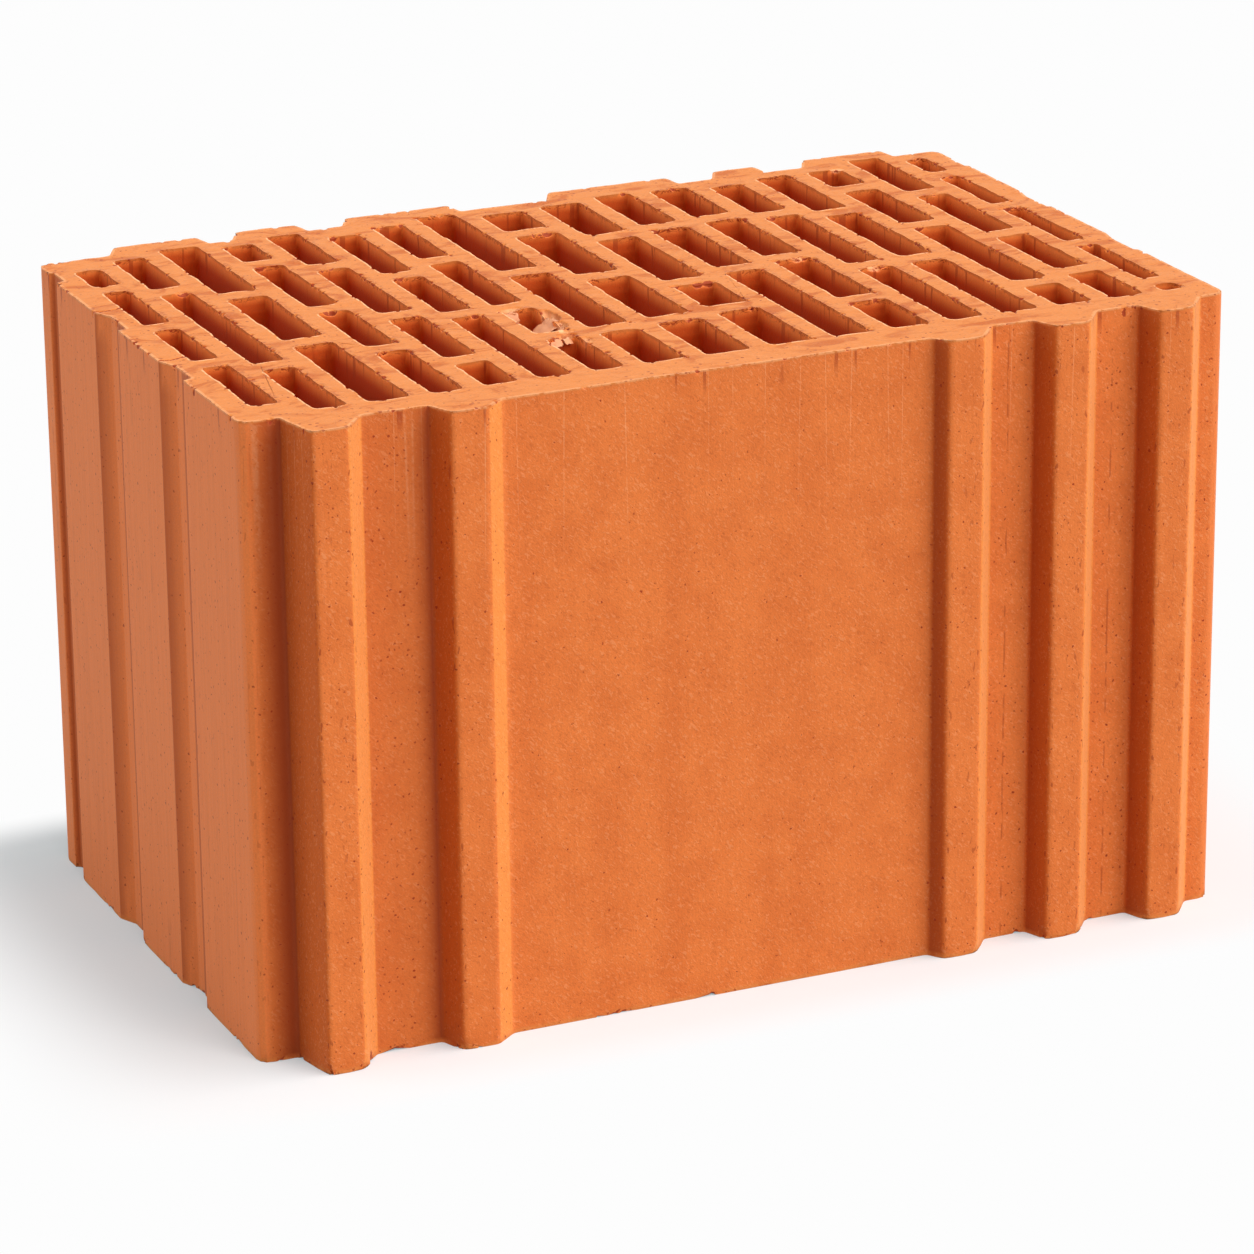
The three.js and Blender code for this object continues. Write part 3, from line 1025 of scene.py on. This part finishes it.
def wall_marks(tree):
    """Dark lines, cracks and chips that run down the walls, and pale seams."""
    cut, slot, end, ridge = tree.masks("cut", "slot", "end", "ridge")
    lines = tree.near_half(tree.streaks(95.0, (1, 1, 0.012), (0.31, 0.2, 0), detail=1.0), 0.012)
    lines = tree.times(lines, tree.step(tree.mottle, 0.5, 0.6))
    crack = tree.streaks(260.0, (1, 1, 0.05), detail=1.0)
    crack = tree.times(tree.step(crack, 0.64, 0.68), tree.less(cut),
                       tree.step(tree.depth, 0.012, 0.001))
    edge_bits = tree.streaks(640.0, (1, 1, 0.35), (0.1, 0.6, 0), detail=1.0)
    edge_chips = tree.times(tree.step(edge_bits, 0.68, 0.72), ridge, tree.less(cut),
                            tree.less(tree.times(end, 0.5)))
    # A dotted scratch runs down the middle of each of the two recesses on the right.
    aside = [tree.math("ABSOLUTE", tree.math("SUBTRACT", tree.across, place)) for place in SCRATCHES]
    dotted = tree.times(tree.step(tree.math("MINIMUM", *aside), 0.0005, 0.0002),
                        tree.math("LESS_THAN", tree.back, -0.1), tree.less(cut),
                        tree.step(tree.streaks(700.0, (1, 1, 0.3), detail=0.0), 0.46, 0.6))
    dark = tree.most(tree.times(crack, 0.6), tree.times(lines, end, 0.18),
                     tree.times(edge_chips, 0.6), tree.times(dotted, 0.45))
    seams = tree.near_half(tree.streaks(52.0, (1, 1, 0.012), (0.13, 0.2, 0), detail=1.0), 0.005)
    seams = tree.times(seams, tree.less(end), tree.less(slot), tree.less(cut),
                       tree.step(tree.depth, 0.08, 0.0), tree.step(tree.bits, 0.3, 0.55))
    return dark, tree.times(seams, 0.3)


def clay_colour(tree, colours):
    """The colours of the faces, and over them those of their marks, with painted highlights and painted
    shade.
    """
    cut, crease, torn, broken_clay_and_light = tree.masks("cut", "crease", "torn", "broken_clay_and_light")
    pore_shade, grains = pore_marks(tree)
    lit_lips_and_pale_rims, gash_shade, chips = rim_marks(tree)
    wall_lines, seams = wall_marks(tree)
    # Painted highlight on the lit slot lips, and a paler line along the outer rims.
    colour = tree.mix(tree.times(lit_lips_and_pale_rims, 0.85), plain_colour(tree, colours), colours.lip)
    speckle = tree.step(tree.grain, 0.25, 0.75, 0.94, 1.05)
    tint = tree.node("ShaderNodeCombineColor")
    for socket in tint.inputs[:3]:
        tree.feed(socket, speckle)
    colour = tree.mix(1.0, colour, tint.outputs[0], blend="MULTIPLY")
    scraped = tree.times(tree.step(tree.scrape, 0.62, 0.74), tree.outer, 0.15)
    colour = tree.mix(scraped, colour, colours.lip)
    scraped = tree.times(tree.step(tree.scrape, 0.38, 0.26), tree.outer, 0.16)
    colour = tree.mix(scraped, colour, colours.torn)
    colour = tree.mix(tree.most(grains, seams), colour, colours.lip)
    # Pale broken clay on caved rims and flakes, partly painted light.
    colour = tree.mix(tree.times(broken_clay_and_light, tree.step(tree.mottle, 0.3, 0.6)), colour, colours.broken_clay_and_light)
    # Painted shade in the hollow corners of the outside.
    shade = tree.math("MINIMUM", tree.times(crease, tree.less(cut), 0.7), 1.0)
    colour = tree.mix(shade, colour, colours.crease)
    # Dark marks: painted shade in pores and gashes, and dark clay in chips, cracks, lines and tears.
    dark = tree.most(pore_shade, gash_shade, tree.times(chips, 0.9), wall_lines, tree.times(torn, 0.2))
    return tree.mix(dark, colour, colours.torn)


def clay_relief(tree):
    """The height of the relief in millimetres, as a normal."""
    cut, slot = tree.masks("cut", "slot")
    height = tree.plus(
        tree.times(tree.plus(tree.scrape, -0.5), tree.outer, 0.085),
        tree.times(tree.grain, 0.08), tree.times(tree.mottle, 0.12),
        tree.times(tree.less(cut), tree.less(tree.times(slot, 0.7)), tree.drawn, 0.08),
        tree.times(cut, tree.smear, 0.17))
    bump = tree.node("ShaderNodeBump")
    bump.inputs["Strength"].default_value = 1.0
    bump.inputs["Distance"].default_value = MM
    tree.feed(bump.inputs["Height"], height)
    return bump.outputs[0]


def clay_material(colours):
    """Fired clay whose shades follow the masks on the mesh."""
    material, tree = new_material("fired_clay", ClayTree)
    shader = tree.node("ShaderNodeBsdfPrincipled")
    shader.inputs["Specular IOR Level"].default_value = 0.3
    shader.inputs["Sheen Weight"].default_value = 0.33
    shader.inputs["Sheen Roughness"].default_value = 0.3
    shader.inputs["Sheen Tint"].default_value = (1.0, 0.8, 0.55, 1.0)
    tree.feed(shader.inputs["Base Color"], clay_colour(tree, colours))
    tree.feed(shader.inputs["Roughness"], tree.step(tree.grain, 0.2, 0.8, 0.55, 0.75))
    tree.feed(shader.inputs["Normal"], clay_relief(tree))
    tree.end("Material", shader.outputs[0])
    return material


# ---------------------------------------------------------------- operators

def add_object(context, name, data):
    made = bpy.data.objects.new(name, data)
    context.scene.collection.objects.link(made)
    return made


class CLAYBLOCK_OT_block(bpy.types.Operator):
    """Make the fired block around its plain solid"""
    bl_idname = "clay_block.block"
    bl_label = "Fired block"

    def execute(self, context):
        sizes = context.scene.clay_block_sizes
        mesh, plan, tears, nicks = block_mesh(sizes)
        weather(mesh, plan, tears, nicks, sizes)
        mesh.shade_smooth()
        piece = add_object(context, "fired_block", mesh)
        mesh.materials.append(clay_material(context.scene.clay_block_colours))
        even = piece.modifiers.new("even_normals", "WEIGHTED_NORMAL")
        even.mode = "FACE_AREA"
        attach(piece, "root")
        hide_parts(NODE)
        return {"FINISHED"}


class CLAYBLOCK_OT_flakes(bpy.types.Operator):
    """Hang the loose flakes of clay in the two slots whose rims have caved in"""
    bl_idname = "clay_block.flakes"
    bl_label = "Rim flakes"

    def execute(self, context):
        solid = plain_solid()
        mesh = flake_mesh(Plan(solid))
        solid.free()
        piece = add_object(context, "rim_flakes", mesh)
        mesh.materials.append(bpy.data.materials["fired_clay"])
        mesh.shade_smooth()
        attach(piece, "root")
        return {"FINISHED"}


class CLAYBLOCK_OT_studio(bpy.types.Operator):
    """Make the floor, the light and the camera"""
    bl_idname = "clay_block.studio"
    bl_label = "Studio"

    def execute(self, context):
        settings = context.scene.clay_block_studio
        make_floor(context, settings)
        make_light(context, settings)
        make_camera(context, settings)
        context.scene.view_settings.view_transform = "Standard"
        return {"FINISHED"}


def seen_rays(tree):
    """1 where the camera looks, straight or by way of a gloss or a glass, and 0 for other light."""
    path = tree.node("ShaderNodeLightPath").outputs
    return tree.most(path["Is Camera Ray"], path["Is Glossy Ray"], path["Is Transmission Ray"])


def make_floor(context, settings):
    """A floor that keeps the block's shadow near it and is plain white further out."""
    bm = bmesh.new()
    bmesh.ops.create_grid(bm, x_segments=1, y_segments=1, size=settings.floor_size / 2)
    mesh = bpy.data.meshes.new("studio_floor")
    bm.to_mesh(mesh)
    bm.free()
    floor = add_object(context, "studio_floor", mesh)
    material, tree = new_material("pale_floor")
    seen = seen_rays(tree)
    place = tree.node("ShaderNodeTexCoord").outputs["Object"]
    place = tree.math("ABSOLUTE", place, kind="ShaderNodeVectorMath")
    # The shadow fades sooner in front of the block than beside it.
    sooner = 2.5
    beyond = tree.stretch(place, (1, sooner, 0), (-HIGH.x, -sooner * HIGH.y, 0))
    beyond = tree.math("MAXIMUM", beyond, (0, 0, 0), kind="ShaderNodeVectorMath")
    distance = tree.node("ShaderNodeVectorMath", operation="LENGTH")
    tree.feed(distance.inputs[0], beyond)
    far = tree.step(distance.outputs["Value"], settings.shadow_start, settings.shadow_end)
    paper = tree.node("ShaderNodeBsdfDiffuse")
    lit = tree.mix(far, settings.floor, (0, 0, 0))
    tree.feed(paper.inputs["Color"], tree.mix(seen, settings.floor_bounce, lit))
    glow = tree.node("ShaderNodeEmission")
    tree.feed(glow.inputs["Color"], tree.mix(far, settings.floor_glow, settings.backdrop))
    tree.feed(glow.inputs["Strength"], seen)
    both = tree.node("ShaderNodeAddShader")
    for socket, part in zip(both.inputs, (paper, glow)):
        tree.feed(socket, part.outputs[0])
    tree.end("Material", both.outputs[0])
    mesh.materials.append(material)


def make_light(context, settings):
    """An even sky and two wide lamps, each with the way to it and its angle in degrees."""
    world = bpy.data.worlds.new("studio")
    context.scene.world = world
    world.use_nodes = True
    world.node_tree.nodes.clear()
    tree = Tree(world.node_tree)
    sky = tree.node("ShaderNodeBackground")
    sky.inputs["Color"].default_value = (1, 1, 1, 1)
    tree.feed(sky.inputs["Strength"], tree.step(seen_rays(tree), 0.0, 1.0, settings.sky, 1.0))
    tree.end("World", sky.outputs[0])
    lamps = (("key", (0.45, -0.47, 0.76), settings.key, 65),
             ("fill", (-0.85, 0.45, 0.3), settings.fill, 60))
    for name, way, strength, angle in lamps:
        lamp = bpy.data.lights.new(name, "SUN")
        lamp.energy = strength
        lamp.angle = math.radians(angle)
        holder = add_object(context, name, lamp)
        holder.rotation_mode = "QUATERNION"
        holder.rotation_quaternion = Vector(way).to_track_quat("Z", "Y")


# The camera's place in metres, and its turn to the right, down and about its own axis in degrees.
CAMERA_PLACE = (-0.8032, -1.7883, 0.7988)
CAMERA_TURNS = (24.194, 19.579, -0.564)


def make_camera(context, settings):
    """The camera stands low at the left front corner and looks a little down."""
    right, down, roll = (math.radians(turn) for turn in CAMERA_TURNS)
    turn = Matrix.Rotation(-right, 3, "Z") @ Matrix.Rotation(math.pi / 2 - down, 3, "X")
    turn = turn @ Matrix.Rotation(roll, 3, "Z")
    lens = bpy.data.cameras.new("camera")
    lens.sensor_width = 36.0
    lens.lens = settings.lens
    lens.clip_start = 0.05
    lens.clip_end = 50.0
    camera = add_object(context, "camera", lens)
    camera.rotation_mode = "QUATERNION"
    camera.rotation_quaternion = turn.to_quaternion()
    camera.location = CAMERA_PLACE
    context.scene.camera = camera


class CLAYBLOCK_PT_panel(bpy.types.Panel):
    """The block's sizes and colours, and what makes it"""
    bl_idname = "CLAYBLOCK_PT_panel"
    bl_label = "Clay block"
    bl_space_type = "VIEW_3D"
    bl_region_type = "UI"
    bl_category = "Clay block"

    def draw(self, context):
        layout = self.layout
        scene = context.scene
        for group_name in ("clay_block_sizes", "clay_block_colours", "clay_block_studio"):
            settings = getattr(scene, group_name)
            box = layout.box()
            for name in settings.__annotations__:
                box.prop(settings, name)
        layout.operator(CLAYBLOCK_OT_block.bl_idname)
        layout.operator(CLAYBLOCK_OT_flakes.bl_idname)
        layout.operator(CLAYBLOCK_OT_studio.bl_idname)


CLASSES = (BlockSizes, ClayColours, StudioSettings, CLAYBLOCK_OT_block, CLAYBLOCK_OT_flakes,
           CLAYBLOCK_OT_studio, CLAYBLOCK_PT_panel)
SETTINGS = {
    "clay_block_sizes": BlockSizes,
    "clay_block_colours": ClayColours,
    "clay_block_studio": StudioSettings,
}


def register():
    for cls in CLASSES:
        bpy.utils.register_class(cls)
    for name, cls in SETTINGS.items():
        setattr(bpy.types.Scene, name, bpy.props.PointerProperty(type=cls))


def unregister():
    for name in SETTINGS:
        delattr(bpy.types.Scene, name)
    for cls in reversed(CLASSES):
        bpy.utils.unregister_class(cls)


def main():
    register()
    bpy.ops.clay_block.studio()
    bpy.ops.clay_block.block()
    bpy.ops.clay_block.flakes()


if __name__ == "__main__":
    main()
